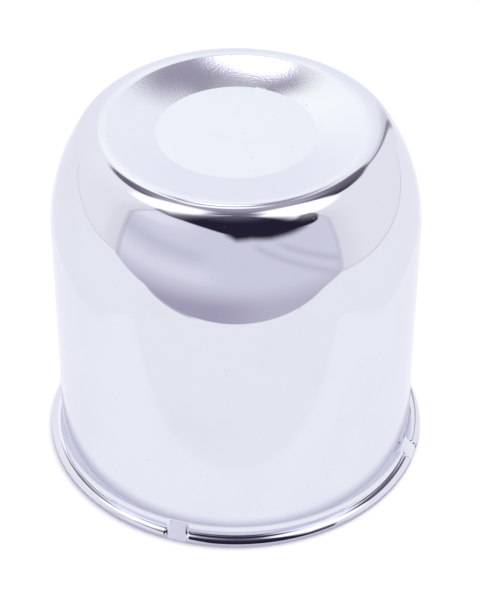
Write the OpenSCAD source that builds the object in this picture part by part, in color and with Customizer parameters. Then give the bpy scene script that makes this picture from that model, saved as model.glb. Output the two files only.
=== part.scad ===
// Push-through centre cap for a wheel, pressed from one sheet.
// It stands on its open foot with its closed top up, centred on the Z axis.
// All sizes are in millimetres.

/* [Sheet] */
// Thickness of the pressed sheet
sheet = 1.0; // [0.6:0.1:1.5]

/* [Body] */
// Outside diameter of the straight wall
wall_diameter = 107; // [80:0.5:140]
// Height from the foot to the top of the rim
cap_height = 109.5; // [80:0.5:150]

/* [Shoulder and rim] */
// Outside radius of the long bend above the wall
shoulder_radius = 54; // [40:0.5:65]
// Angle that the long bend turns through, in degrees
shoulder_sweep = 32.1; // [22:0.1:40]
// Outside radius of the tight bend at the rim
rim_radius = 9.4; // [5:0.1:14]

/* [Dished top] */
// Slope of the dish where it leaves the rim, in degrees
dish_slope = 8.5; // [2:0.5:9]
// Slope of the dish at the edge of the disc, in degrees
disc_slope = 11; // [10:0.5:20]
// Diameter of the flat disc in the middle
disc_diameter = 45.3; // [30:0.1:60]

/* [Foot flare] */
// Height above the foot where the wall starts to flare
flare_height = 5.4; // [4:0.1:7]
// Radius of the flare's hollow bend
flare_radius = 5.2; // [3:0.1:7]
// Angle that the flare leans out by, in degrees
flare_lean = 28; // [15:1:35]

/* [Foot bead] */
// How far the foot stands out from the wall
foot_width = 3.5; // [2.5:0.1:5]
// Height of the bead's flat top above the foot
bead_height = 2.5; // [1.8:0.1:3]
// Radius of the bead's rounded shoulder
bead_radius = 3.0; // [2:0.1:4]
// Slope of the bead's shoulder at the edge, in degrees
bead_slope = 50; // [30:1:60]
// Radius of the bead's outer edge
edge_radius = 0.25; // [0.15:0.05:0.6]
// Width of the flat face that the cap stands on
foot_land = 1.5; // [1:0.1:2]

/* [Notches] */
// Number of notches round the bead
notch_count = 4; // [2:1:8]
// Clear width of a notch
notch_width = 6.0; // [3:0.5:12]
// Radius of the bead's outer corners beside a notch
notch_corner = 0.8; // [0.3:0.1:1.2]
// Height of the ramp in a notch, where it leaves the wall
ramp_height = 4.8; // [3:0.1:6]
// Height of the ramp's outer end
ramp_end = 0.4; // [0.2:0.1:0.8]

/* [Hidden] */
wall_radius = wall_diameter / 2;
disc_radius = disc_diameter / 2;
foot_radius = wall_radius + foot_width;
// The rim's highest circle, reached after both bends
rim_centre_r = wall_radius - shoulder_radius * (1 - cos(shoulder_sweep))
             - rim_radius * cos(shoulder_sweep);
rim_centre_z = cap_height - rim_radius;
// Height where the straight wall ends and the long bend starts
wall_top = rim_centre_z + (rim_radius - shoulder_radius) * sin(shoulder_sweep);
// Slow bend of the dish, from the rim's inner side down to the disc's edge
dish_run = rim_centre_r - rim_radius * sin(dish_slope) - disc_radius;
dish_radius = dish_run / (sin(disc_slope) - sin(dish_slope));
dish_centre_r = rim_centre_r + (dish_radius - rim_radius) * sin(dish_slope);
dish_centre_z = rim_centre_z - (dish_radius - rim_radius) * cos(dish_slope);
disc_height = dish_centre_z + dish_radius * cos(disc_slope);
// Centre of the flare's hollow bend
flare_centre_r = wall_radius + flare_radius;
// Centres of the bead's shoulder and of its outer edge
shoulder_centre_r = foot_radius - edge_radius
                  - (bead_radius - edge_radius) * sin(bead_slope);
shoulder_centre_z = bead_height - bead_radius;
edge_centre_r = foot_radius - edge_radius;
edge_centre_z = shoulder_centre_z + (bead_radius - edge_radius) * cos(bead_slope);
// Centre of a notch's rounded corner, measured out from the axis
corner_out = sqrt(pow(foot_radius - notch_corner, 2)
           - pow(notch_width / 2 + notch_corner, 2));
// Width of a notch at its mouth
mouth_width = notch_width + 2 * notch_corner;
notch_step = 360 / notch_count;
$fn = 96;

// Radius of the disc's edge on a surface that lies inset below the outside.
function disc_edge(inset) =
    dish_centre_r - sqrt(pow(dish_radius - inset, 2)
    - pow(disc_height - inset - dish_centre_z, 2));

// Half section of the cap without its foot, from the axis out to a surface
// that lies inset below the outside. Each bend is cut along the line that the
// next bend's centre lies on, so the bends run into one another smoothly.
module cap_section(inset) {
    far = 2 * cap_height;
    across = rim_centre_r + far * cos(shoulder_sweep);
    up = rim_centre_z + far * sin(shoulder_sweep);
    inner_r = rim_centre_r - 2 * rim_radius * sin(dish_slope);
    inner_z = rim_centre_z + 2 * rim_radius * cos(dish_slope);
    // Straight wall
    square([wall_radius - inset, wall_top]);
    // Long bend of the shoulder
    intersection() {
        translate([wall_radius - shoulder_radius, wall_top])
            circle(shoulder_radius - inset);
        polygon([[rim_centre_r, wall_top], [far, wall_top], [across, up],
                 [rim_centre_r, rim_centre_z]]);
    }
    // Tight bend of the rim
    intersection() {
        translate([rim_centre_r, rim_centre_z])
            circle(rim_radius - inset);
        polygon([[rim_centre_r, rim_centre_z], [across, up],
                 [inner_r, inner_z]]);
    }
    // Core behind the rim, half a sheet deep, that ties the bends together
    translate([rim_centre_r, rim_centre_z])
        circle(rim_radius - inset - sheet / 2);
    // Slow bend of the dish, from the rim in to the disc
    intersection() {
        translate([dish_centre_r, dish_centre_z])
            circle(dish_radius - inset);
        polygon([[disc_edge(inset), 0], [rim_centre_r, 0],
                 [rim_centre_r, rim_centre_z], [inner_r, inner_z],
                 [disc_edge(inset), inner_z]]);
    }
    // Flat disc
    square([disc_edge(inset), disc_height - inset]);
}

// Half section of the flare below the wall, out to a surface that lies inset
// below the outside: a hollow bend, then a straight slope down to the foot.
module flare_section(inset) {
    bend = flare_radius + inset;
    turn_r = flare_centre_r - bend * cos(flare_lean);
    turn_z = flare_height - bend * sin(flare_lean);
    start = wall_radius - 2 * sheet;
    difference() {
        polygon([[start, -sheet],
                 [turn_r + (turn_z + sheet) * tan(flare_lean), -sheet],
                 [turn_r, turn_z], [flare_centre_r, flare_height],
                 [start, flare_height]]);
        translate([flare_centre_r, flare_height]) circle(bend);
    }
}

// Half section of the bead: a flat top, a rounded shoulder and a round edge.
module bead_section() {
    start = wall_radius - sheet;
    translate([start, 0])
        square([shoulder_centre_r - start, bead_height]);
    // Rounded shoulder, down to the line through both centres
    intersection() {
        translate([shoulder_centre_r, shoulder_centre_z]) circle(bead_radius);
        polygon([[shoulder_centre_r, shoulder_centre_z],
                 [shoulder_centre_r + 2 * bead_radius * sin(bead_slope),
                  shoulder_centre_z + 2 * bead_radius * cos(bead_slope)],
                 [shoulder_centre_r, shoulder_centre_z + 2 * bead_radius]]);
    }
    // Round edge, and the upright face below it
    translate([edge_centre_r, edge_centre_z]) circle(edge_radius);
    translate([start, 0])
        square([edge_centre_r - start, edge_centre_z]);
    translate([start, 0])
        square([foot_radius - start, edge_centre_z]);
}

// Plan of one notch along +X, widened at its mouth round the bead's corners.
module notch_plan() {
    start = wall_radius - 2 * sheet;
    reach = foot_radius + sheet;
    translate([start, -notch_width / 2])
        square([reach - start, notch_width]);
    difference() {
        translate([corner_out, -mouth_width / 2])
            square([reach - corner_out, mouth_width]);
        for (side = [-1, 1])
            translate([corner_out, side * mouth_width / 2])
            circle(notch_corner);
    }
}

// Bead round the foot, interrupted by the notches.
module foot_bead() {
    difference() {
        rotate_extrude() bead_section();
        for (i = [0 : notch_count - 1])
            rotate([0, 0, i * notch_step])
            translate([0, 0, -sheet])
            linear_extrude(height = 2 * bead_height + sheet) notch_plan();
    }
}

// Ramps that run through the notches from the wall down to the foot.
module notch_ramps() {
    start = wall_radius - sheet;
    reach = foot_radius - edge_radius / 2;
    intersection() {
        rotate_extrude()
            polygon([[start, 0], [reach, 0], [reach, ramp_end],
                     [wall_radius, ramp_height], [start, ramp_height]]);
        for (i = [0 : notch_count - 1])
            rotate([0, 0, i * notch_step])
            translate([start - sheet, -mouth_width / 2, -sheet])
            cube([foot_width + 4 * sheet, mouth_width, 2 * ramp_height]);
    }
}

// Hollow under the bead, from the flare out to the flat face of the foot.
module bead_hollow() {
    start = wall_radius - 2 * sheet;
    band = mouth_width + 2 * sheet;
    difference() {
        rotate_extrude()
            translate([start, -sheet])
            square([foot_radius - foot_land - start, bead_height]);
        for (i = [0 : notch_count - 1])
            rotate([0, 0, i * notch_step])
            translate([start - sheet, -band / 2, -2 * sheet])
            cube([foot_width + 4 * sheet, band, 2 * bead_height + sheet]);
    }
}

// Hollow of the cap, flared at the foot like the outside.
module cap_hollow() {
    rotate_extrude() {
        cap_section(sheet);
        translate([0, -sheet]) square([wall_radius - sheet, 2 * sheet]);
        flare_section(sheet);
    }
}

module cap_shell() {
    color([0.80, 0.82, 0.87])
    difference() {
        union() {
            rotate_extrude() {
                cap_section(0);
                intersection() {
                    flare_section(0);
                    square([foot_radius, flare_height]);
                }
            }
            foot_bead();
            notch_ramps();
        }
        cap_hollow();
        bead_hollow();
    }
}

cap_shell();
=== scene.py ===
"""Chrome push-through center cap on a pale studio floor."""

import logging
import math
from collections.abc import Callable
from dataclasses import dataclass
from enum import Enum

import bpy
import numpy as np
from mathutils import Matrix, Vector


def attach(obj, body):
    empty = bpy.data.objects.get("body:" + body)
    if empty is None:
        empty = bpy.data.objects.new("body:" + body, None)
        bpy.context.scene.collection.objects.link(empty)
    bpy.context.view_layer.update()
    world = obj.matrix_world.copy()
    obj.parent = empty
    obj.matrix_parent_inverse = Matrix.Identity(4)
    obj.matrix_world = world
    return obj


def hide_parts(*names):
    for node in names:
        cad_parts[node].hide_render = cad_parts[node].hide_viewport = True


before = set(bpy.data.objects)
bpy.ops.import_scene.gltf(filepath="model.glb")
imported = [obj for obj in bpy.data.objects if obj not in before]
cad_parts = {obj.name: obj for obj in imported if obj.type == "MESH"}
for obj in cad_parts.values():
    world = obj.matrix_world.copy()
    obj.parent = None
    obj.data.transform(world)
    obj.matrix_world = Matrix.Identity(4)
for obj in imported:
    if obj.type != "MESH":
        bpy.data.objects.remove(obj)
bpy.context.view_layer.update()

MM = 0.001
DEGREES = math.degrees(1.0)
TINY = 1e-12  # keeps a division from zero and a sign from being none
TURN = math.radians(18.0)  # the cap's turn about Z against the studio's front

Colour = tuple[float, float, float]
Point = tuple[float, float]
Span = tuple[float, float]  # a soft edge, from where it is 0 to where it is 1
Band = tuple[float, float, float]  # from, to, and how soft both ends are
Stops = tuple[Point, ...]

WHITE: Colour = (1.0, 1.0, 1.0)

# Places of the sockets that are read or linked by number
COORD_GENERATED, COORD_OBJECT = 0, 3
RAY_CAMERA, RAY_GLOSSY = 0, 3
FACE_BACK = 6
MIX_SHARE, MIX_FIRST, MIX_SECOND = 0, 6, 7

log = logging.getLogger("center_cap")


# Shader maths


def math_node(operation: str, reflected: bool = False) -> Callable[..., "Shade"]:
    """A method of Shade that adds one Math node.

    Args:
        operation: the Math node's operation.
        reflected: whether self is its last value and not its first.

    Returns:
        The method. It takes the node's other value, if it has one.
    """

    def method(self: "Shade", *other: "Shade | float") -> "Shade":
        """Adds the node.

        Args:
            other: its other value, if it has one.

        Returns:
            The node's output.
        """
        values = (*other, self) if reflected else (self, *other)
        links = dict(enumerate(values))
        return self.nodes.add("ShaderNodeMath", {"operation": operation}, links)[0]

    return method


class Shade:
    """A shader socket that Python's arithmetic signs work on."""

    __add__, __radd__ = math_node("ADD"), math_node("ADD", reflected=True)
    __sub__, __rsub__ = math_node("SUBTRACT"), math_node("SUBTRACT", reflected=True)
    __mul__, __rmul__ = math_node("MULTIPLY"), math_node("MULTIPLY", reflected=True)
    __truediv__, __rtruediv__ = math_node("DIVIDE"), math_node("DIVIDE", reflected=True)
    __abs__ = math_node("ABSOLUTE")
    least, most = math_node("MINIMUM"), math_node("MAXIMUM")
    root, arcsine = math_node("SQRT"), math_node("ARCSINE")
    arctan2 = math_node("ARCTAN2")

    def __init__(self, nodes: "Nodes", socket: bpy.types.NodeSocket) -> None:
        """Wraps one output socket of a node tree."""
        self.nodes = nodes
        self.socket = socket

    def __neg__(self) -> "Shade":
        """-self."""
        return self * -1.0

    def rise(self, low: float, high: float) -> "Shade":
        """A smooth step from 0 at low to 1 at high.

        Args:
            low: where the step starts.
            high: where it ends; below low, the step falls instead.

        Returns:
            The step's value.
        """
        if low > high:
            return 1.0 - self.rise(high, low)
        return self.nodes.add(
            "ShaderNodeMapRange",
            {"interpolation_type": "SMOOTHSTEP", "clamp": True},
            {"Value": self, "From Min": low, "From Max": high},
        )[0]

    def band(self, low: float, high: float, soft: float) -> "Shade":
        """1 between low and high, falling to 0 over soft on either side."""
        return self.rise(low - soft, low + soft) * self.rise(high + soft, high - soft)

    def between(self, first: Span, second: Span) -> "Shade":
        """1 between two soft edges, each from where it is 0 to where it is 1."""
        return self.rise(*first).least(self.rise(*second))


Tint = Shade | Colour


class Nodes:
    """A node tree with one way to add a node to it."""

    def __init__(self, tree: bpy.types.NodeTree) -> None:
        """Takes an empty node tree."""
        self.tree = tree
        tree.nodes.clear()

    def add(
        self,
        kind: str,
        settings: dict[str, object] | None = None,
        links: dict[str | int, object] | None = None,
    ) -> list[Shade]:
        """Adds a node, sets it, and gives its inputs values or links.

        Args:
            kind: the node's type.
            settings: properties, set first; "stops" fills a colour ramp.
            links: a Shade or a plain value for each input, by name or number.

        Returns:
            The node's outputs.
        """
        node = self.tree.nodes.new(kind)
        for name, value in (settings or {}).items():
            if name == "stops":
                self._fill_ramp(node.color_ramp, value)
            else:
                setattr(node, name, value)
        for name, value in (links or {}).items():
            if isinstance(value, Shade):
                self.tree.links.new(value.socket, node.inputs[name])
            else:
                node.inputs[name].default_value = value
        return [Shade(self, output) for output in node.outputs if output.enabled]

    @staticmethod
    def _fill_ramp(ramp: bpy.types.ColorRamp, stops: list[Point]) -> None:
        """Fills a ramp with grey stops.

        Args:
            ramp: the ramp, which has two stops to begin with.
            stops: position and grey level of each stop, in order.
        """
        while len(ramp.elements) < len(stops):
            ramp.elements.new(0.5)
        for element, (place, level) in zip(ramp.elements, stops):
            element.position = place
            element.color = (level, level, level, 1.0)

    def studio_axes(self, way: Shade) -> list[Shade]:
        """x, y and z of a vector, turned so that y runs away from the camera."""
        turned = self.add("ShaderNodeVectorRotate", {"rotation_type": "Z_AXIS"},
                          {"Vector": way, "Angle": -TURN})[0]
        return self.add("ShaderNodeSeparateXYZ", None, {0: turned})

    def skyline(self, around: Shade, reach: float, stops: Stops) -> Shade:
        """Height of an uneven edge, as straight lines through given stops.

        Args:
            around: angle that the edge is read at, in degrees.
            reach: the stops lie between -reach and reach.
            stops: angle and height of each stop; a height is from 0 to 100.

        Returns:
            The height at that angle.
        """
        full = 100.0
        places = [((at + reach) / (2.0 * reach), height / full) for at, height in stops]
        share = (around + reach) / (2.0 * reach)
        grey = self.add("ShaderNodeValToRGB", {"stops": places}, {"Fac": share})[0]
        return self.add("ShaderNodeSeparateColor", None, {"Color": grey})[0] * full

    def blend(self, share: Shade, first: Tint, second: Tint) -> Shade:
        """A colour that goes from first to second as share goes from 0 to 1."""
        return self.add(
            "ShaderNodeMix", {"data_type": "RGBA"},
            {MIX_SHARE: share, MIX_FIRST: rgba(first), MIX_SECOND: rgba(second)},
        )[0]

    def paint(self, colour: Tint, coats: list[tuple[Shade, Tint]]) -> Tint:
        """Lays coats over a colour, one after another.

        Args:
            colour: the colour below.
            coats: share and colour of each coat, the lowest first.

        Returns:
            The colour that shows.
        """
        for share, coat in coats:
            colour = self.blend(share, colour, coat)
        return colour


def rgba(colour: Tint) -> Shade | tuple[float, ...]:
    """A plain colour with its fourth number added, or a Shade as it is."""
    return colour if isinstance(colour, Shade) else (*colour, 1.0)


# The cap


class FootForm(Enum):
    """The two sections that the foot changes between."""

    BEADED = "beaded"
    NOTCHED = "notched"


@dataclass(frozen=True)
class Run:
    """One stretch of a section: points and outward normals, as (r, z) rows."""

    points: np.ndarray
    normals: np.ndarray

    def back(self) -> "Run":
        """The same stretch from its other end and its other side."""
        return Run(self.points[::-1], -self.normals[::-1])


def straight(start: Point, end: Point, steps: int) -> Run:
    """A straight stretch: start + share * (end - start), share from 0 to 1.

    Args:
        start: first point (r, z).
        end: last point.
        steps: number of steps.

    Returns:
        The stretch, with both its ends and a normal to the left of its way.
    """
    share = np.linspace(0.0, 1.0, steps + 1)[:, None]
    way = np.subtract(end, start)
    normal = np.array([-way[1], way[0]]) / np.hypot(*way)
    points = np.asarray(start) + share * way
    return Run(points, np.broadcast_to(normal, points.shape).copy())


def bend(centre: Point, radius: float, first: float, last: float,
         steps: int) -> Run:
    """A circular stretch: centre + radius * (cos angle, sin angle).

    Args:
        centre: the circle's centre (r, z).
        radius: its radius.
        first: angle in degrees where it starts.
        last: angle in degrees where it ends. A falling angle gives a bulging
            bend, with normals away from the centre, and a rising one a hollow.
        steps: number of steps.

    Returns:
        The stretch, with both its ends.
    """
    angle = np.radians(np.linspace(first, last, steps + 1))
    ray = np.stack([np.cos(angle), np.sin(angle)], axis=1)
    side = 1.0 if last < first else -1.0
    return Run(np.asarray(centre) + radius * ray, side * ray)


def join(runs: list[Run]) -> Run:
    """Stretches end to end, with the point where two meet kept once.

    Args:
        runs: the stretches, in order.

    Returns:
        One stretch.
    """
    points = [runs[0].points] + [run.points[1:] for run in runs[1:]]
    normals = [runs[0].normals] + [run.normals[1:] for run in runs[1:]]
    return Run(np.concatenate(points), np.concatenate(normals))


def travel(points: np.ndarray) -> np.ndarray:
    """Length along a row of points, from 0 to 1."""
    steps = np.linalg.norm(np.diff(points, axis=0), axis=1)
    return np.concatenate([[0.0], np.cumsum(steps)]) / steps.sum()


def lattice(here: np.ndarray, there: np.ndarray) -> np.ndarray:
    """Quads between columns of point numbers and the columns beside them."""
    corners = [here[:, :-1], here[:, 1:], there[:, 1:], there[:, :-1]]
    return np.stack(corners, axis=2).reshape(-1, 4)


def put(name: str, data: bpy.types.ID | None) -> bpy.types.Object:
    """Puts an object at the origin of the scene.

    Args:
        name: the object's name.
        data: its mesh or camera.

    Returns:
        The object.
    """
    item = bpy.data.objects.new(name, data)
    bpy.context.scene.collection.objects.link(item)
    return item


def along(run: Run, share: np.ndarray) -> Run:
    """The points of a stretch at given shares of its length.

    Args:
        run: the stretch.
        share: lengths from its start, from 0 to 1.

    Returns:
        The stretch, read at those lengths.
    """
    place = travel(run.points)
    read = [np.interp(share, place, run.points[:, i]) for i in (0, 1)]
    turn = [np.interp(share, place, run.normals[:, i]) for i in (0, 1)]
    normals = np.stack(turn, axis=1)
    return Run(np.stack(read, axis=1),
               normals / np.linalg.norm(normals, axis=1, keepdims=True))


@dataclass(frozen=True)
class Steps:
    """How many steps the cap's section takes along each stretch."""

    disc: int = 6
    crease: int = 4
    dish: int = 16
    rim: int = 44
    shoulder: int = 28
    wall: int = 14
    inner_wall: int = 6
    flare: int = 14
    slope: int = 8
    root: int = 8
    ramp: int = 20
    bead_top: int = 3
    bead: int = 16
    edge: int = 8
    face: int = 3
    corner: int = 4
    hollow_corner: int = 5
    notch_foot: int = 6
    flat: int = 2


@dataclass
class CapShell:
    """The pressed cap: one closed sheet. Millimetres and degrees."""

    sheet: float = 1.0
    wall_radius: float = 53.5
    cap_height: float = 109.5
    shoulder_radius: float = 54.0
    shoulder_sweep: float = 32.1
    rim_radius: float = 9.4
    dish_slope: float = 8.5
    disc_slope: float = 11.0
    disc_radius: float = 22.65
    disc_crease: float = 1.0
    flare_height: float = 5.4
    flare_radius: float = 5.2
    flare_lean: float = 28.0
    foot_width: float = 3.5
    bead_height: float = 2.5
    bead_radius: float = 3.0
    bead_slope: float = 50.0
    bead_root: float = 0.15
    edge_radius: float = 0.25
    foot_land: float = 1.5
    foot_corner: float = 0.25
    notch_count: int = 4
    # Half of a notch, and half the width that its side blends over
    notch_half: float = 3.1
    notch_blend: float = 0.62
    notch_blend_at_wall: float = 0.35
    notch_widening: float = 0.15
    notch_underside: float = 0.75
    ramp_height: float = 4.8
    ramp_end: float = 0.4
    ramp_root: float = 0.8
    # Columns stand close together between these places off a notch's middle
    fine_from: float = 1.9
    fine_to: float = 5.3
    fine_step: float = 0.16
    floor_columns: int = 4
    plain_columns: int = 22
    steps: Steps = Steps()

    def __post_init__(self) -> None:
        """Works out the centres that the section's stretches share."""
        sweep = math.radians(self.shoulder_sweep)
        dish, disc = math.radians(self.dish_slope), math.radians(self.disc_slope)
        self.rim_r = (self.wall_radius - self.shoulder_radius * (1 - math.cos(sweep))
                      - self.rim_radius * math.cos(sweep))
        self.rim_z = self.cap_height - self.rim_radius
        self.wall_top = (self.rim_z
                         + (self.rim_radius - self.shoulder_radius) * math.sin(sweep))
        run = self.rim_r - self.rim_radius * math.sin(dish) - self.disc_radius
        self.dish_radius = run / (math.sin(disc) - math.sin(dish))
        reach = self.dish_radius - self.rim_radius
        self.dish_r = self.rim_r + reach * math.sin(dish)
        self.dish_z = self.rim_z - reach * math.cos(dish)
        self.disc_z = self.dish_z + self.dish_radius * math.cos(disc)
        self.foot_radius = self.wall_radius + self.foot_width
        self.lean = math.radians(self.flare_lean)
        self.flare_r = self.wall_radius + self.flare_radius
        slope = math.radians(self.bead_slope)
        reach = self.bead_radius - self.edge_radius
        self.edge_r = self.foot_radius - self.edge_radius
        self.bead_r = self.edge_r - reach * math.sin(slope)
        self.bead_z = self.bead_height - self.bead_radius
        self.edge_z = self.bead_z + reach * math.cos(slope)

    def _top(self, inset: float, every: int = 1) -> Run:
        """Section of the closed top, from the axis out to the top of the wall.

        Flat disc, a short crease, the slow bend of the dish, the rim's tight
        bend and the shoulder's long bend, each tangent to the next, all on
        circles whose radii are less by inset.

        Args:
            inset: depth below the outside.
            every: 1 for all the steps, 2 for half as many.

        Returns:
            The stretch, with normals that point up and out.
        """
        steps = self.steps
        crease = self.disc_crease + inset
        wide = self.dish_radius - inset
        level = self.disc_z - inset
        # The crease's circle touches the flat disc below it and the dish
        gap_z = level + crease - self.dish_z
        crease_r = self.dish_r - math.sqrt((wide + crease) ** 2 - gap_z**2)
        touch = math.degrees(math.atan2(gap_z, self.dish_r - crease_r))
        return join([
            straight((0.0, level), (crease_r, level), steps.disc // every),
            bend((crease_r, level + crease), crease, 270.0, 360.0 - touch,
                 steps.crease // every),
            bend((self.dish_r, self.dish_z), wide, 180.0 - touch,
                 90.0 + self.dish_slope, steps.dish // every),
            bend((self.rim_r, self.rim_z), self.rim_radius - inset,
                 90.0 + self.dish_slope, self.shoulder_sweep, steps.rim // every),
            bend((self.wall_radius - self.shoulder_radius, self.wall_top),
                 self.shoulder_radius - inset, self.shoulder_sweep, 0.0,
                 steps.shoulder // every),
        ])

    def _flare(self, inset: float, foot: float, root: float) -> tuple[Run, float]:
        """Section of the flare, from the wall down to a level face.

        The hollow bend's circle has its radius more by inset. Where it leans
        by flare_lean, a straight slope goes on to a small bend that touches
        both the slope and the level face.

        Args:
            inset: depth below the outside.
            foot: height of the level face.
            root: radius of the small bend.

        Returns:
            The stretch, with normals that point up and out, and the radius
            where it reaches the face.
        """
        wide = self.flare_radius + inset
        turn_r = self.flare_r - wide * math.cos(self.lean)
        turn_z = self.flare_height - wide * math.sin(self.lean)
        # The small bend's centre stands root above the face and root off the slope
        root_z = foot + root
        root_r = (turn_r + (turn_z - root_z) * math.tan(self.lean)
                  + root / math.cos(self.lean))
        run = join([
            bend((self.flare_r, self.flare_height), wide, 180.0,
                 180.0 + self.flare_lean, self.steps.flare),
            straight((turn_r, turn_z),
                     (root_r - root * math.cos(self.lean),
                      root_z - root * math.sin(self.lean)), self.steps.slope),
            bend((root_r, root_z), root, 180.0 + self.flare_lean, 270.0,
                 self.steps.root),
        ])
        return run, root_r

    def _foot_outside(self, form: FootForm) -> Run:
        """Section from the bottom of the plain wall to the edge of the foot.

        Args:
            form: with the bead, or a ramp straight down as in a notch.

        Returns:
            The stretch, with normals that point up and out.
        """
        steps = self.steps
        if form is FootForm.NOTCHED:
            wall, root = self.wall_radius, self.ramp_root
            end = (self.foot_radius - self.edge_radius / 2.0, self.ramp_end)
            fall = math.atan2(self.ramp_height - end[1], end[0] - wall)
            lean = math.pi / 2.0 - fall
            # A small bend takes the wall over to the ramp
            half = root * math.tan(lean / 2.0)
            return join([
                straight((wall, self.flare_height),
                         (wall, self.ramp_height + half), steps.flat),
                bend((wall + root, self.ramp_height + half), root, 180.0,
                     180.0 + math.degrees(lean), steps.root),
                straight((wall + half * math.sin(lean),
                          self.ramp_height - half * math.cos(lean)), end,
                         steps.ramp),
            ])
        flare, reach = self._flare(0.0, self.bead_height, self.bead_root)
        return join([
            flare,
            straight((reach, self.bead_height), (self.bead_r, self.bead_height),
                     steps.bead_top),
            bend((self.bead_r, self.bead_z), self.bead_radius, 90.0,
                 90.0 - self.bead_slope, steps.bead),
        ])

    def _foot_edge(self, form: FootForm) -> Run:
        """Section round the foot's edge, down to the face it stands on.

        Args:
            form: with the bead, or the outer end of a notch's ramp.

        Returns:
            The stretch, with normals that point out and then down.
        """
        corner, foot, steps = self.foot_corner, self.foot_radius, self.steps
        if form is FootForm.NOTCHED:
            out, top = foot - self.edge_radius / 2.0, self.ramp_end
            return join([
                straight((out, top), (out, corner), steps.flat),
                bend((out - corner, corner), corner, 0.0, -90.0, steps.corner),
            ])
        return join([
            bend((self.edge_r, self.edge_z), self.edge_radius,
                 90.0 - self.bead_slope, 0.0, steps.edge),
            straight((foot, self.edge_z), (foot, corner), steps.face),
            bend((foot - corner, corner), corner, 0.0, -90.0, steps.corner),
        ])

    def _foot_inside(self, form: FootForm) -> Run:
        """Section of the underside, from the foot in to the bottom of the wall.

        Args:
            form: with the bead, or a ramp straight down as in a notch.

        Returns:
            The stretch, with normals that point down and in.
        """
        edge = self.foot_radius - self.foot_corner
        root, steps = self.bead_root, self.steps
        if form is FootForm.NOTCHED:
            flare, reach = self._flare(self.sheet, 0.0, root)
            return join([
                straight((edge, 0.0), (reach, 0.0), steps.notch_foot),
                flare.back(),
            ])
        under = self.bead_height - self.sheet
        hollow = self.foot_radius - self.foot_land
        flare, reach = self._flare(self.sheet, under, root)
        return join([
            straight((edge, 0.0), (hollow, 0.0), steps.flat),
            straight((hollow, 0.0), (hollow, under - root), steps.flat),
            bend((hollow - root, under - root), root, 0.0, 90.0,
                 steps.hollow_corner),
            straight((hollow - root, under), (reach, under), steps.flat),
            flare.back(),
        ])

    def _section(self, form: FootForm) -> Run:
        """The whole closed section, from the outer pole round to the inner one.

        The notched section's points are read at the same shares of its length
        as the beaded one's, so the two match row by row.

        Args:
            form: the foot's form.

        Returns:
            The section.
        """
        inner = self.wall_radius - self.sheet
        foot = []
        for part in (self._foot_outside, self._foot_edge, self._foot_inside):
            places = travel(part(FootForm.BEADED).points)
            foot.append(along(part(form), places))
        return join([
            self._top(0.0),
            straight((self.wall_radius, self.wall_top),
                     (self.wall_radius, self.flare_height), self.steps.wall),
            *foot,
            straight((inner, self.flare_height), (inner, self.wall_top),
                     self.steps.inner_wall),
            self._top(self.sheet, every=2).back(),
        ])

    def _columns(self) -> np.ndarray:
        """Azimuths of the columns, close together at the ends of each notch.

        Returns:
            Angles from 0 up to a full turn, left out itself.
        """
        pitch = math.tau / self.notch_count
        floor = np.linspace(0.0, self.fine_from, self.floor_columns)[:-1]
        ends = np.arange(self.fine_from, self.fine_to, self.fine_step)
        near = np.concatenate([floor, ends]) / self.foot_radius
        rest = np.linspace(near[-1], pitch / 2.0, self.plain_columns)[1:]
        half = np.concatenate([near, rest])
        one = np.concatenate([-half[:0:-1], half[:-1]])
        turns = np.arange(self.notch_count)[:, None] * pitch
        return np.sort(((one[None, :] + turns) % math.tau).ravel())

    def _notch_share(self, azimuth: np.ndarray, rows: int, out: slice,
                     inn: slice) -> np.ndarray:
        """How far each point has gone over to the notched section, 0 to 1.

        With x the distance along the foot from the middle of the nearest notch,
        the share is a smooth step down at x = notch_half. The step is wider
        beside the wall, where the flare runs out softly, and further out on the
        underside, which leaves the sheet its thickness.

        Args:
            azimuth: angle of each column.
            rows: number of rows in the section.
            out: rows of the foot's outside.
            inn: rows of the foot's underside.

        Returns:
            Shares, one row a column of the cap.
        """
        pitch = math.tau / self.notch_count
        off = (azimuth + pitch / 2.0) % pitch - pitch / 2.0
        x = np.abs(off)[:, None] * self.foot_radius
        middle = np.full(rows, self.notch_half)
        wide = np.full(rows, self.notch_blend)
        near_wall = np.linspace(1.0, 0.0, out.stop - out.start)
        wide[out] += self.notch_blend_at_wall * near_wall
        middle[out] += self.notch_widening * (1.0 - near_wall)
        middle[inn] += self.notch_underside * self.sheet
        share = np.clip((middle + wide - x) / (2.0 * wide), 0.0, 1.0)
        return share**3 * (share * (6.0 * share - 15.0) + 10.0)

    def build(self) -> bpy.types.Object:
        """Makes the cap's closed mesh.

        A point is (r cos a, r sin a, z), where (r, z) runs along the section
        and is beaded + share * (notched - beaded) at azimuth a. Where the share
        is 0 the normal is the section's own, turned to the azimuth, and it is
        the cross product of the surface's two slopes elsewhere.

        Returns:
            The cap's object, in metres, at the origin.
        """
        beaded, notched = (self._section(form) for form in FootForm)
        rows = len(beaded.points)
        first = len(self._top(0.0).points) - 1 + self.steps.wall
        out = slice(first, first + len(self._foot_outside(FootForm.BEADED).points))
        start = out.stop - 1 + len(self._foot_edge(FootForm.BEADED).points) - 1
        inn = slice(start, start + len(self._foot_inside(FootForm.BEADED).points))

        azimuth = self._columns()
        share = self._notch_share(azimuth, rows, out, inn)
        cos, sin = np.cos(azimuth)[:, None], np.sin(azimuth)[:, None]
        r, z = (beaded.points[:, i] + share * (notched.points - beaded.points)[:, i]
                for i in (0, 1))
        grid = np.stack([r * cos, r * sin, z], axis=2)
        turn_r = np.broadcast_to(beaded.normals[:, 0], r.shape)
        turn_z = np.broadcast_to(beaded.normals[:, 1], r.shape)
        normals = np.stack([turn_r * cos, turn_r * sin, turn_z], axis=2)

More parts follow.
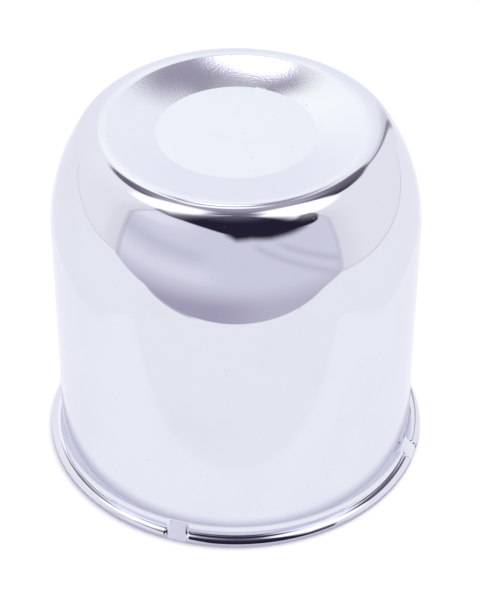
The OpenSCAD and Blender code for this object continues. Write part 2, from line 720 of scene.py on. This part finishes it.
        # Slopes round the cap and along the section
        lead = np.concatenate([azimuth[-2:] - math.tau, azimuth,
                               azimuth[:2] + math.tau])
        wrap = np.concatenate([grid[-2:], grid, grid[:2]])
        round_slope = np.gradient(wrap, lead, axis=0)[2:-2]
        down_slope = np.gradient(grid, travel(beaded.points), axis=1)
        cross = np.cross(down_slope, round_slope)
        cross /= np.maximum(np.linalg.norm(cross, axis=2, keepdims=True), TINY)
        cross *= np.sign((cross * normals).sum(axis=2, keepdims=True) + TINY)
        normals = np.where(share[:, :, None] > 0.0, cross, normals)
        return self._mesh(grid, normals)

    @staticmethod
    def _mesh(grid: np.ndarray, normals: np.ndarray) -> bpy.types.Object:
        """Turns the grid into a mesh whose first and last rows are poles.

        Args:
            grid: points in millimetres, by column and row.
            normals: their normals.

        Returns:
            The object.
        """
        columns, rows = grid.shape[:2]
        body = grid[:, 1:-1].reshape(-1, 3)
        points = np.concatenate([body, grid[:1, 0], grid[:1, -1]]) * MM
        turned = np.concatenate([normals[:, 1:-1].reshape(-1, 3),
                                 [[0.0, 0.0, 1.0], [0.0, 0.0, -1.0]]])
        here = np.arange(len(body)).reshape(columns, rows - 2)
        there = np.roll(here, -1, axis=0)
        pole = np.full(columns, len(body))
        fans = [np.stack([pole, here[:, 0], there[:, 0]], axis=1),
                np.stack([pole + 1, there[:, -1], here[:, -1]], axis=1)]
        faces = [*lattice(here, there).tolist(), *np.concatenate(fans).tolist()]

        mesh = bpy.data.meshes.new("cap_skin")
        mesh.from_pydata(points.tolist(), [], faces)
        mesh.validate()
        mesh.polygons.foreach_set("use_smooth", np.ones(len(faces), dtype=bool))
        mesh.normals_split_custom_set_from_vertices(turned.tolist())
        return put("cap_skin", mesh)

    def dress(self, skin: bpy.types.Object, plate: "ChromePlate") -> None:
        """Plates the skin and hands it to the frame.

        Args:
            skin: the cap's object.
            plate: its finish.
        """
        skin.data.materials.append(plate.material())
        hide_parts("cap_shell")
        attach(skin, "root")


@dataclass(frozen=True)
class ChromePlate:
    """Bright chrome plate over pressed steel. Sizes are in metres."""

    colour: Colour = (0.765, 0.78, 0.87)
    haze: Colour = (0.70, 0.71, 0.80)
    edge: Colour = (0.93, 0.93, 0.96)
    haze_share: float = 0.35
    pit_share: float = 0.5
    # Roughness of clean plate, and what haze, the dish and a pit add to it
    roughness: float = 0.035
    haze_roughness: float = 0.02
    dish_roughness: float = 0.03
    pit_roughness: float = 0.2
    # Where the dish ends, by radius and by height, with its soft edges
    dish_edge: Span = (0.0398, 0.0338)
    dish_level: Span = (0.1040, 0.1050)
    # Noises: repeats per metre and detail
    clouds: Point = (38.0, 3.0)
    grain: Point = (1700.0, 1.0)
    ripple: Point = (420.0, 2.0)
    pits: Point = (900.0, 0.0)
    # Levels of the noises at which haze, its roughness and pits come in
    haze_from: Span = (0.45, 0.8)
    rough_from: Span = (0.4, 0.8)
    pits_from: Span = (0.83, 0.86)
    # Heights of grain and ripple all over and, added to that, in the dish
    grain_height: float = 0.03
    dish_grain: float = 7.5
    ripple_height: float = 0.12
    dish_ripple: float = 0.6
    pit_depth: float = 0.5
    bump_strength: float = 0.06
    bump_distance: float = 0.00002

    def material(self) -> bpy.types.Material:
        """Builds the finish.

        The plate is brightest where it is clean. Slow clouds of haze dull the
        colour and the shine a little, fine grain roughens the dished top, where
        the press has stretched the sheet, and a few pits are scattered over it.

        Returns:
            The material.
        """
        material = bpy.data.materials.new("chrome_plate")
        material.use_nodes = True
        nodes = Nodes(material.node_tree)
        place = nodes.add("ShaderNodeTexCoord")[COORD_OBJECT]
        x, y, z = nodes.add("ShaderNodeSeparateXYZ", None, {0: place})
        away = (x * x + y * y).root()
        dished = away.rise(*self.dish_edge) * z.rise(*self.dish_level)

        clouds, grain, ripple, pits = (
            nodes.add("ShaderNodeTexNoise", None,
                      {"Vector": place, "Scale": scale, "Detail": detail})[0]
            for scale, detail in (self.clouds, self.grain, self.ripple, self.pits))
        pits = pits.rise(*self.pits_from)

        dull = clouds.rise(*self.haze_from) * self.haze_share + pits * self.pit_share
        colour = nodes.blend(dull, self.colour, self.haze)
        rough = self.roughness \
            + clouds.rise(*self.rough_from) * self.haze_roughness \
            + dished * self.dish_roughness + pits * self.pit_roughness
        height = grain * (dished * self.dish_grain + self.grain_height) \
            + ripple * (dished * self.dish_ripple + self.ripple_height) \
            - pits * self.pit_depth
        bump = nodes.add("ShaderNodeBump", None, {
            "Strength": self.bump_strength, "Distance": self.bump_distance,
            "Height": height,
        })[0]
        shader = nodes.add("ShaderNodeBsdfPrincipled", None, {
            "Base Color": colour, "Metallic": 1.0, "Roughness": rough, "Normal": bump,
            "Specular Tint": rgba(self.edge),
        })[0]
        nodes.add("ShaderNodeOutputMaterial", None, {"Surface": shader})
        return material


# The studio


@dataclass(frozen=True)
class StudioFloor:
    """A pale table top, with its front edge close in front. Metres."""

    left: float = -0.89
    right: float = 0.445
    front: float = -0.196
    bow: float = 0.75
    bow_most: float = 0.055
    back: float = 2.0
    columns: int = 41
    rows: int = 13
    paper: Colour = (0.888, 0.886, 0.892)
    board: Colour = (0.93, 0.93, 0.93)
    board_half: float = 0.126
    board_front: float = -0.083
    board_soft: float = 0.004
    # Painted shade in the corners where the paper meets the tent's sides and the flap's
    # left.
    # Each pair is where a soft edge starts and where it is full.
    corner_shade: Colour = (0.22, 0.20, 0.26)
    side_corner_shade: float = 0.3
    left_corner_shade_edge: Span = (0.07, 0.05)
    right_corner_shade_edge: Span = (-0.03, -0.02)
    front_corner_shade: float = 0.6
    front_corner_shade_depth: Span = (0.012, 0.008)
    front_corner_shade_end: Span = (-0.06, -0.10)
    # The cap's foot, and the painted shadow that dims the paper round and under it
    foot: float = 0.057
    lean: Point = (-0.0004, -0.0003)
    painted_foot_shadow: Colour = (0.80, 0.78, 0.865)
    painted_foot_shadow_reach: Span = (0.006, 0.001)
    # Painted shadow: where the paper's own light dies away round the foot, for the
    # camera and in reflections, and where it comes back far under the cap
    camera_shadow_reach: Span = (-0.0012, 0.0016)
    glossy_shadow_reach: Span = (0.0, 0.005)
    inside_reach: Span = (-0.006, -0.010)
    glow: float = 1.14
    camera_share: float = 0.80
    glossy_share: float = 0.92

    def build(self) -> bpy.types.Object:
        """Makes the floor as a grid turned with the studio.

        A point is (x cos t - y sin t, x sin t + y cos t, 0) for x from left to
        right, y from front - min(bow x x, bow_most) to back and t the studio's
        turn.

        Returns:
            The floor's object.
        """
        xs, share = np.meshgrid(np.linspace(self.left, self.right, self.columns),
                                np.linspace(0.0, 1.0, self.rows), indexing="ij")
        near = self.front - np.minimum(self.bow * xs ** 2, self.bow_most)
        ys = near + (self.back - near) * share
        cos, sin = math.cos(TURN), math.sin(TURN)
        points = np.stack([xs * cos - ys * sin, xs * sin + ys * cos,
                           np.zeros_like(xs)], axis=2).reshape(-1, 3)
        number = np.arange(len(points)).reshape(xs.shape)
        quads = lattice(number[1:], number[:-1])
        mesh = bpy.data.meshes.new("studio_floor")
        mesh.from_pydata(points.tolist(), [], quads.tolist())
        mesh.materials.append(self._material())
        floor = put("studio_floor", mesh)
        return floor

    def _material(self) -> bpy.types.Material:
        """White paper with a cleaner board on it under the cap.

        Returns:
            The material. A little light of its own lifts the paper to white for
            the camera and in reflections. That light dies away round the foot as a
            painted shadow, and the cap's real shadow stays on it.
        """
        material = bpy.data.materials.new("white_paper")
        material.use_nodes = True
        nodes = Nodes(material.node_tree)
        x, y, _ = nodes.studio_axes(nodes.add("ShaderNodeTexCoord")[COORD_OBJECT])
        # Distance out from the foot's edge; the foot's shadow leans a little
        across, along_y = x - self.lean[0], y - self.lean[1]
        out = (across * across + along_y * along_y).root() - self.foot
        colour = self._colour(nodes, x, y, out)
        diffuse = nodes.add("ShaderNodeBsdfDiffuse", None, {"Color": colour})[0]

        # Painted shadow: the paper's own light dies away round the foot's edge,
        # darkening the paper there
        ray = nodes.add("ShaderNodeLightPath")
        camera, glossy = ray[RAY_CAMERA], ray[RAY_GLOSSY]
        glow = nodes.add("ShaderNodeEmission", None, {
            "Color": nodes.blend(camera, colour, WHITE), "Strength": self.glow,
        })[0]
        shine = out.rise(*self.glossy_shadow_reach).most(out.rise(*self.inside_reach))
        share = camera * out.rise(*self.camera_shadow_reach) * self.camera_share \
            + glossy * shine * self.glossy_share
        top = nodes.add("ShaderNodeMixShader", None,
                        {0: share, 1: diffuse, 2: glow})[0]

        # From below the paper is clear, so that the cap's inside can be seen
        under = nodes.add("ShaderNodeNewGeometry")[FACE_BACK]
        clear = nodes.add("ShaderNodeBsdfTransparent")[0]
        shown = nodes.add("ShaderNodeMixShader", None,
                          {0: under, 1: top, 2: clear})[0]
        nodes.add("ShaderNodeOutputMaterial", None, {"Surface": shown})
        return material

    def _colour(self, nodes: Nodes, x: Shade, y: Shade, out: Shade) -> Shade:
        """Colour of the paper, its board, painted shade in its corners and a painted
        shadow round the foot.

        Args:
            nodes: the material's nodes.
            x: place across the studio.
            y: place away from the camera.
            out: distance out from the foot's edge.

        Returns:
            The colour.
        """
        soft = self.board_soft
        board = abs(x).rise(self.board_half + soft, self.board_half - soft) \
            * y.rise(self.board_front - soft, self.board_front + soft)
        # Painted shade in the corners along the paper's sides and its front, where it
        # meets the tent
        sides = (x - self.left).rise(*self.left_corner_shade_edge) \
            .most((x - self.right).rise(*self.right_corner_shade_edge)) * self.side_corner_shade
        depth = y + x * x * self.bow - self.front
        front = depth.rise(*self.front_corner_shade_depth) * x.rise(*self.front_corner_shade_end) \
            * self.front_corner_shade
        return nodes.paint(self.paper, [
            (board, self.board), (sides.most(front), self.corner_shade),
            # Painted shadow, lavender grey, round and under the cap's foot
            (out.rise(*self.painted_foot_shadow_reach), self.painted_foot_shadow),
        ])


@dataclass(frozen=True)
class Patch:
    """A soft-edged patch of light on the tent, in degrees.

    An edge is a pair of angles: where the patch starts to show and where it
    shows in full. Two stand upright; low and high bound its height.
    """

    colour: Colour
    edges: tuple[Span, Span]
    low: Span | None = None
    high: Span | None = None
    strength: float = 1.0

    def share(self, around: Shade, rise: Shade) -> Shade:
        """How much of the patch shows in a direction.

        Args:
            around: degrees round, from the side that the edges count from.
            rise: degrees above the floor.

        Returns:
            The share, from 0 to the patch's strength.
        """
        share = around.between(*self.edges)
        for edge in (self.low, self.high):
            if edge is not None:
                share = share * rise.rise(*edge)
        return share * self.strength


@dataclass(frozen=True)
class Lamp:
    """An oval lamp: its middle, its half sizes and its soft edge.

    The middle and the half sizes are round the far side and up, in degrees. The
    edge is where the lamp starts to show and where it is full, in half sizes.
    """

    level: float
    middle: Point
    half: Point
    edge: Span

    def share(self, back: Shade, rise: Shade) -> Shade:
        """How much of the lamp shows in a direction.

        Args:
            back: degrees round from the far side, to the left.
            rise: degrees above the floor.

        Returns:
            The share, from 0 to 1.
        """
        across = (back - self.middle[0]) / self.half[0]
        up = (rise - self.middle[1]) / self.half[1]
        return (across * across + up * up).root().rise(*self.edge)


@dataclass(frozen=True)
class Flap:
    """The flap of cloth that hangs folded in front. Angles are in degrees."""

    cloth: Colour = (0.77, 0.755, 0.835)
    lit_cloth: Colour = (0.94, 0.915, 0.96)
    lit_left: Span = (-15.0, -55.0)
    lit_up: Span = (14.0, 33.0)
    shelf: Colour = (0.86, 0.84, 0.905)
    shelf_band: Band = (-4.0, 4.0, 3.0)
    shelf_left: Span = (-4.0, -24.0)
    left_shade: Colour = (0.455, 0.42, 0.53)
    right_shade: Colour = (0.58, 0.555, 0.655)
    shade_turn: Span = (-14.0, 24.0)
    shade_down: Span = (-3.0, -21.0)
    # Two folds run down to the right, one lies level on the left
    fold: Colour = (0.57, 0.55, 0.65)
    fold_share: float = 0.62
    fold_fall: float = 0.62
    near_fold: Band = (24.5, 28.0, 2.5)
    near_fold_end: Span = (8.0, 16.0)
    far_fold: Band = (33.0, 36.5, 2.2)
    far_fold_end: Span = (22.0, 32.0)
    level_fold: Band = (9.0, 14.0, 4.0)
    level_fold_end: Span = (-12.0, -28.0)
    level_share: float = 0.8

    def colour(self, nodes: Nodes, side: Shade, rise: Shade) -> Shade:
        """Colour of the flap in a direction.

        Args:
            nodes: the world's nodes.
            side: degrees round from the camera's side, to the right.
            rise: degrees above the floor.

        Returns:
            The colour: lavender grey, darker low down and along its folds.
        """
        lit = side.rise(*self.lit_left) * rise.rise(*self.lit_up)
        shelf = rise.band(*self.shelf_band) * side.rise(*self.shelf_left)
        low = rise.rise(*self.shade_down)
        shade = nodes.blend(side.rise(*self.shade_turn), self.left_shade,
                            self.right_shade)
        down = rise + side * self.fold_fall
        near = down.band(*self.near_fold) * side.rise(*self.near_fold_end)
        far = down.band(*self.far_fold) * side.rise(*self.far_fold_end)
        level = rise.band(*self.level_fold) * side.rise(*self.level_fold_end)
        folds = near.most(far).most(level * self.level_share)
        return nodes.paint(self.cloth, [
            (lit, self.lit_cloth), (shelf, self.shelf), (low, shade),
            (folds * self.fold_share * (1.0 - low), self.fold),
        ])


@dataclass(frozen=True)
class LightTent:
    """The white cloth tent round the cap, as the world's light by direction.

    Colours are linear light, where 1 is white. Angles are in degrees, and a
    pair is a soft edge, from where it starts to where it is full.
    """

    # Walls at the sides and behind
    wall: Colour = (0.975, 0.958, 0.968)
    left_wall: Colour = (1.02, 1.005, 1.01)
    left_wall_edge: Span = (-100.0, -130.0)
    far_walls: tuple[Patch, ...] = (
        Patch((1.01, 1.02, 1.03), ((-34.0, -12.0), (38.0, 12.0))),
        Patch((1.12, 1.14, 1.10), ((-26.0, 10.0), (22.0, 8.0)), low=(16.0, 36.0)),
        Patch((1.18, 1.20, 1.12), ((20.0, 13.0), (5.0, 11.0)), low=(30.0, 42.0)),
    )
    turned_in: Colour = (0.80, 0.775, 0.815)
    turned_in_bands: tuple[Band, Band] = ((55.0, 68.0, 18.0), (-80.0, -70.0, 12.0))
    turned_in_share: float = 0.9
    # Flap in front, and the seams beside it
    flap: Flap = Flap()
    flap_band: Band = (-73.0, 62.0, 1.0)
    corner_shade: Colour = (0.52, 0.49, 0.57)
    seam_bands: tuple[Band, Band] = ((-74.5, -71.0, 1.2), (61.5, 64.0, 1.0))
    seam_share: float = 0.4
    seam_foot: Span = (-14.0, -9.0)
    # Dark fold up the right back corner, with a soft shadow behind it
    fold: Colour = (0.19, 0.17, 0.24)
    fold_place: float = -30.5
    fold_lean: float = 0.14
    fold_line: tuple[Span, Span] = ((-3.4, -0.6), (3.6, 0.6))
    fold_line_share: float = 0.8
    fold_shadow: tuple[Span, Span] = ((-2.0, 0.0), (12.0, 1.0))
    fold_shadow_share: float = 0.3
    fold_foot: Span = (-16.0, 4.0)
    # Open top: its hem hangs lower in front and is torn at the back
    hem_reach: float = 90.0
    front_hem: Stops = (
        (-90.0, 80.0), (-83.0, 60.0), (-78.0, 53.5), (-60.0, 51.5), (-45.0, 50.0),
        (-37.0, 47.5), (-30.0, 44.5), (-22.0, 40.0), (-15.0, 34.5), (-7.0, 26.5),
        (0.0, 23.0), (10.0, 23.5), (22.0, 21.9), (38.0, 21.6), (46.0, 22.0),
        (53.0, 23.5), (57.0, 27.5), (61.0, 35.5), (66.0, 44.0), (70.0, 60.0),
        (74.0, 80.0), (90.0, 80.0),
    )
    back_hem: Stops = (
        (-90.0, 80.0), (-76.0, 80.0), (-68.0, 58.0), (-60.0, 50.0), (-48.0, 43.5),
        (-36.0, 40.0), (-28.0, 42.0), (-22.0, 45.0), (-17.0, 50.0), (-14.0, 53.0),
        (0.0, 54.0), (8.0, 54.0), (11.0, 58.0), (16.0, 57.0), (19.0, 48.0),
        (24.0, 42.0), (32.0, 44.0), (40.0, 49.0), (46.0, 54.0), (52.0, 80.0),
        (90.0, 80.0),
    )
    hem_edge: Span = (-2.2, 2.6)
    near_dark: Colour = (0.020, 0.015, 0.035)
    far_dark: Colour = (0.17, 0.15, 0.20)
    far_dark_edge: Span = (70.0, 30.0)
    far_grey: Colour = (0.48, 0.45, 0.52)
    far_grey_edge: Span = (30.0, 12.0)
    high_grey_edge: Span = (44.0, 26.0)
    high_grey_foot: Span = (51.0, 61.0)
    overhead: Colour = (0.16, 0.14, 0.20)
    overhead_edge: Span = (60.0, 94.0)
    # Grey veil behind the lamp, which slopes down to the left
    veil: Patch = Patch((0.40, 0.365, 0.44), ((-16.0, -8.0), (13.0, 9.0)),
                        high=(57.0, 52.0))
    veil_foot: Span = (40.0, 46.5)
    veil_slope: Span = (-8.0, 6.0)
    veil_drop: float = 3.0
    veil_low: Colour = (0.68, 0.65, 0.71)
    veil_low_left: Span = (-7.0, -2.0)
    veil_low_top: Span = (48.5, 45.5)
    # Lit corners above a sill, and the glow round them
    lit: Colour = (1.45, 1.45, 1.45)
    sill_reach: float = 180.0
    sill: Stops = (
        (-165.0, 72.0), (-150.0, 66.0), (-144.0, 63.0), (-132.0, 61.0),
        (-120.0, 54.5), (-108.0, 52.0), (-96.0, 53.0), (-85.0, 57.0),
        (-75.0, 59.0), (-60.0, 54.0), (-50.0, 54.0), (50.0, 49.0), (55.0, 52.5),
        (60.0, 55.5), (65.0, 54.5), (75.0, 49.5), (96.0, 50.5), (108.0, 53.0),
        (120.0, 58.5), (132.0, 64.0), (144.0, 68.0), (165.0, 74.0),
    )
    sill_edge: Span = (-4.0, 4.0)
    corners: tuple[Patch, ...] = (
        Patch(WHITE, ((40.0, 66.0), (160.0, 134.0)), high=(86.0, 77.0)),
        Patch(WHITE, ((-50.0, -90.0), (-162.0, -138.0)), high=(84.5, 73.5)),
    )
    glows: tuple[Patch, ...] = (
        Patch(WHITE, ((42.0, 66.0), (92.0, 76.0)), low=(28.0, 54.0), strength=0.23),
        Patch(WHITE, ((-36.0, -86.0), (-118.0, -92.0)), low=(44.0, 60.0),
              strength=0.35),
    )
    # The lamp and the weaker light above it
    lamps: tuple[Lamp, ...] = (
        Lamp(1.32, (3.5, 60.0), (14.5, 4.0), (1.25, 0.55)),
        Lamp(1.60, (1.9, 49.5), (5.9, 3.7), (1.12, 0.60)),
    )

    def build(self) -> None:
        """Sets the world.

        Plain light of strength 1 falls on the floor from all sides and the
        camera sees white. The chrome sees the tent: its walls, the folded flap
        in front, the open top, two lit corners above and a lamp at the back.
        """
        world = bpy.data.worlds.new("light_tent")
        bpy.context.scene.world = world
        world.use_nodes = True
        nodes = Nodes(world.node_tree)
        x, y, z = nodes.studio_axes(nodes.add("ShaderNodeTexCoord")[COORD_GENERATED])
        side = x.arctan2(-y) * DEGREES
        back = (-x).arctan2(y) * DEGREES
        rise = z.arcsine() * DEGREES
        tent = self._colour(nodes, side, back, rise)
        seen = nodes.add("ShaderNodeLightPath")[RAY_GLOSSY]
        light = nodes.add("ShaderNodeBackground", None, {
            "Color": nodes.blend(seen, WHITE, tent), "Strength": 1.0,
        })[0]
        nodes.add("ShaderNodeOutputWorld", None, {"Surface": light})

    def _colour(self, nodes: Nodes, side: Shade, back: Shade, rise: Shade) -> Shade:
        """Colour of the tent in a direction.

        Args:
            nodes: the world's nodes.
            side: degrees round from the camera's side, to the right.
            back: degrees round from the far side, to the left.
            rise: degrees above the floor.

        Returns:
            The colour.
        """
        front_hem = nodes.skyline(side, self.hem_reach, self.front_hem)
        back_hem = nodes.skyline(back, self.hem_reach, self.back_hem)
        above = (rise - front_hem.least(back_hem)).rise(*self.hem_edge)
        return nodes.paint(self._walls(nodes, side, back, rise), [
            (above, self._opening(nodes, back, rise)),
            self._veil_coat(nodes, back, rise),
            (self._lit_share(nodes, side, rise, above), self.lit),
            *((lamp.share(back, rise), (lamp.level,) * 3) for lamp in self.lamps),
        ])

    def _walls(self, nodes: Nodes, side: Shade, back: Shade, rise: Shade) -> Shade:
        """Colour below the hem: walls, the flap in front, seams and a fold.

        Args:
            nodes: the world's nodes.
            side: degrees round from the camera's side, to the right.
            back: degrees round from the far side, to the left.
            rise: degrees above the floor.

        Returns:
            The colour.
        """
        right, left = (side.band(*band) for band in self.turned_in_bands)
        turned_in = right.most(left) * self.turned_in_share
        left, right = (side.band(*band) for band in self.seam_bands)
        seams = left.most(right) * rise.rise(*self.seam_foot) * self.seam_share
        fold = back + rise * self.fold_lean - self.fold_place
        line = fold.between(*self.fold_line) * self.fold_line_share
        shadow = fold.between(*self.fold_shadow) * self.fold_shadow_share
        return nodes.paint(self.wall, [
            (side.rise(*self.left_wall_edge), self.left_wall),
            *((patch.share(back, rise), patch.colour) for patch in self.far_walls),
            (turned_in, self.turned_in),
            (side.band(*self.flap_band), self.flap.colour(nodes, side, rise)),
            (seams, self.corner_shade),
            (line.most(shadow) * rise.rise(*self.fold_foot), self.fold),
        ])

    def _opening(self, nodes: Nodes, back: Shade, rise: Shade) -> Shade:
        """Colour above the hem: nearly black in front, grey at the far side.

        Args:
            nodes: the world's nodes.
            back: degrees round from the far side, to the left.
            rise: degrees above the floor.

        Returns:
            The colour.
        """
        off = abs(back)
        grey = off.rise(*self.far_grey_edge).most(
            off.rise(*self.high_grey_edge) * rise.rise(*self.high_grey_foot))
        return nodes.paint(self.near_dark, [
            (off.rise(*self.far_dark_edge), self.far_dark), (grey, self.far_grey),
            (rise.rise(*self.overhead_edge), self.overhead),
        ])

    def _veil_coat(self, nodes: Nodes, back: Shade,
                   rise: Shade) -> tuple[Shade, Shade]:
        """The veil as a coat; low down on its left it is paler.

        Args:
            nodes: the world's nodes.
            back: degrees round from the far side, to the left.
            rise: degrees above the floor.

        Returns:
            How much of it shows, and its colour.
        """
        foot = rise - back.rise(*self.veil_slope) * self.veil_drop
        share = self.veil.share(back, rise) * foot.rise(*self.veil_foot)
        low = back.rise(*self.veil_low_left) * rise.rise(*self.veil_low_top)
        return share, nodes.blend(low, self.veil.colour, self.veil_low)

    def _lit_share(self, nodes: Nodes, side: Shade, rise: Shade,
                   above: Shade) -> Shade:
        """How lit the corners are: in full over the sill, and a glow beside it.

        Args:
            nodes: the world's nodes.
            side: degrees round from the camera's side, to the right.
            rise: degrees above the floor.
            above: how far the direction lies above the hem, 0 to 1.

        Returns:
            The share, from 0 to 1.
        """
        sill = nodes.skyline(side, self.sill_reach, self.sill)
        right, left = (patch.share(side, rise) for patch in self.corners)
        corners = right.most(left) * (rise - sill).rise(*self.sill_edge)
        right, left = (patch.share(side, rise) for patch in self.glows)
        return corners.most(right.most(left) * above)


@dataclass(frozen=True)
class StudioCamera:
    """The photograph's camera, in metres and degrees, before the studio's turn."""

    place: tuple[float, float, float] = (-0.00077, -0.4891, 0.4397)
    tilt: float = 38.79
    yaw: float = 0.23
    roll: float = 0.16
    lens: float = 126.56
    film: float = 36.0
    nearest: float = 0.01
    farthest: float = 20.0

    def build(self) -> None:
        """Makes the camera and gives it to the scene."""
        camera = bpy.data.cameras.new("studio_camera")
        camera.sensor_fit = "VERTICAL"
        camera.sensor_width = self.film
        camera.sensor_height = self.film
        camera.lens = self.lens
        camera.clip_start, camera.clip_end = self.nearest, self.farthest
        holder = put("studio_camera", camera)
        tilt, yaw, roll = (math.radians(a) for a in (self.tilt, self.yaw, self.roll))
        ahead = Vector((math.sin(yaw) * math.cos(tilt),
                        math.cos(yaw) * math.cos(tilt), -math.sin(tilt)))
        right = Vector((math.cos(yaw), -math.sin(yaw), 0.0))
        up = right.cross(ahead)
        right, up = (right * math.cos(roll) + up * math.sin(roll),
                     up * math.cos(roll) - right * math.sin(roll))
        turn = Matrix((right, up, -ahead)).transposed().to_4x4()
        holder.matrix_world = (Matrix.Rotation(TURN, 4, "Z")
                               @ Matrix.Translation(self.place) @ turn)
        bpy.context.scene.camera = holder


def main() -> None:
    """Builds the studio and the cap, and reports each piece."""
    logging.basicConfig(level=logging.INFO, format="%(name)s: %(message)s")
    scene = bpy.context.scene
    scene.view_settings.view_transform = "Standard"
    StudioCamera().build()
    LightTent().build()
    floor = StudioFloor().build()
    log.info("%s: %d faces", floor.name, len(floor.data.polygons))
    shell = CapShell()
    skin = shell.build()
    shell.dress(skin, ChromePlate())
    log.info("%s: %d points, %d faces", skin.name, len(skin.data.vertices),
             len(skin.data.polygons))


if __name__ == "__main__":
    main()
